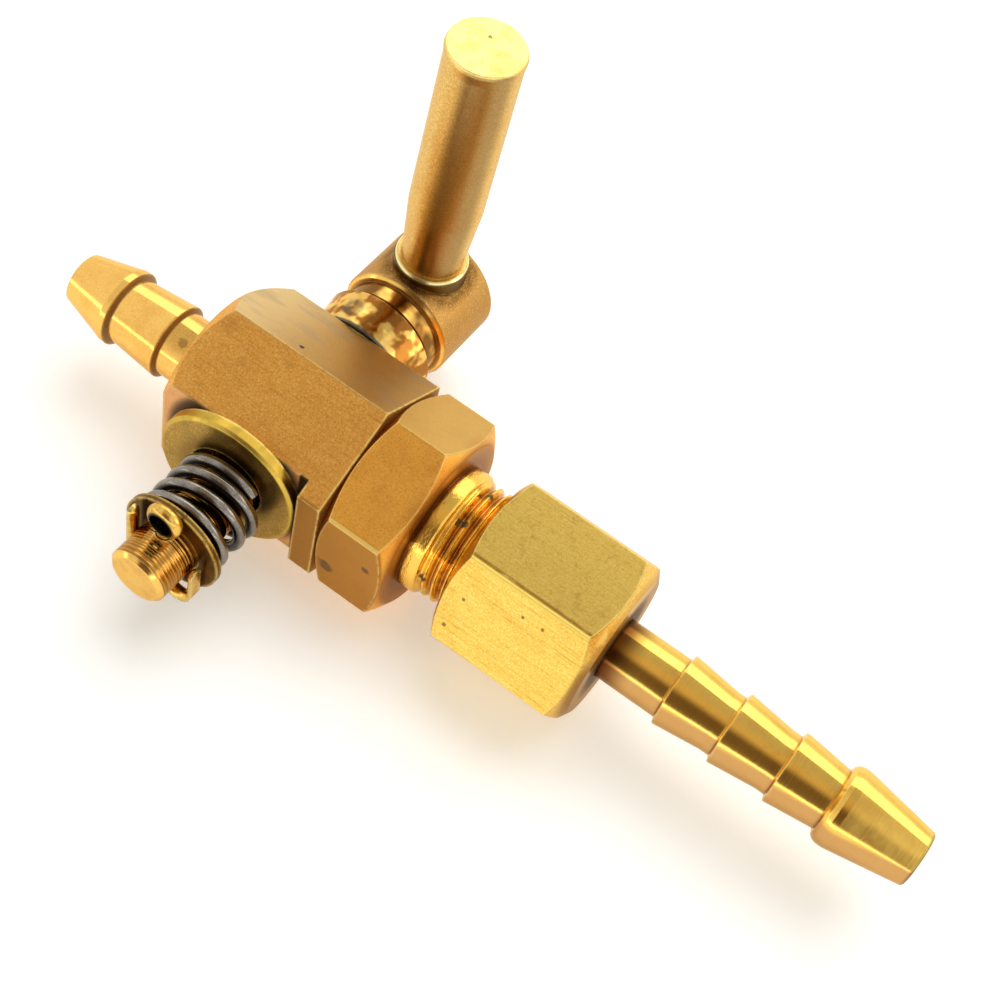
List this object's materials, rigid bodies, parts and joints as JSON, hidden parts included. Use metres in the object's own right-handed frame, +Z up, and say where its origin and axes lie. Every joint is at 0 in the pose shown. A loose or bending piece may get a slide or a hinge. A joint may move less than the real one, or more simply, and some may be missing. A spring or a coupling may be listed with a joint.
{
  "type": "oil tap",
  "caption": "Inline brass taper-plug tap for a small oil line, with a lever, an inlet hose barb and a barbed hose tail held by a union nut.",
  "frame": {"origin": "on the flow axis at the shoulder of the inlet barb's first crest", "axes": "+X with the flow, towards the hose tail; +Y along the plug, towards the lever; +Z up, along the lever"},
  "size_m": [0.074, 0.0365, 0.0353],
  "materials": {
    "brass": "satin, a little tarnished",
    "polished_brass": "polished",
    "spring_steel": "dark oiled"
  },
  "bodies": {
    "tap_body": {"body": "brass", "outlet_nipple": "brass", "thrust_washer": "brass"},
    "plug_group": {"plug": "polished_brass", "handle": "brass", "spring": "spring_steel", "spring_retainer": "brass", "split_pin": "brass"},
    "tail_group": {"hose_tail": "polished_brass"},
    "nut_group": {"union_nut": "brass"}
  },
  "joints": [
    {"name": "plug_turn", "type": "hinge", "parent": "tap_body", "child": "plug_group", "pos_m": [0.0157, 0, 0], "axis": [0, 1, 0], "continuous": true},
    {"name": "tail_slide", "type": "slide", "parent": "tap_body", "child": "tail_group", "axis": [1, 0, 0], "range_m": [0, 0.00556]},
    {"name": "union_nut_turn", "type": "hinge", "parent": "tail_group", "child": "nut_group", "pos_m": [0.0385, 0, 0], "axis": [1, 0, 0], "range_deg": [0, 2520]}
  ],
  "couplings": [
    {"joint": "tail_slide", "follows": "union_nut_turn", "m_per_rad": 0.00012633}
  ]
}
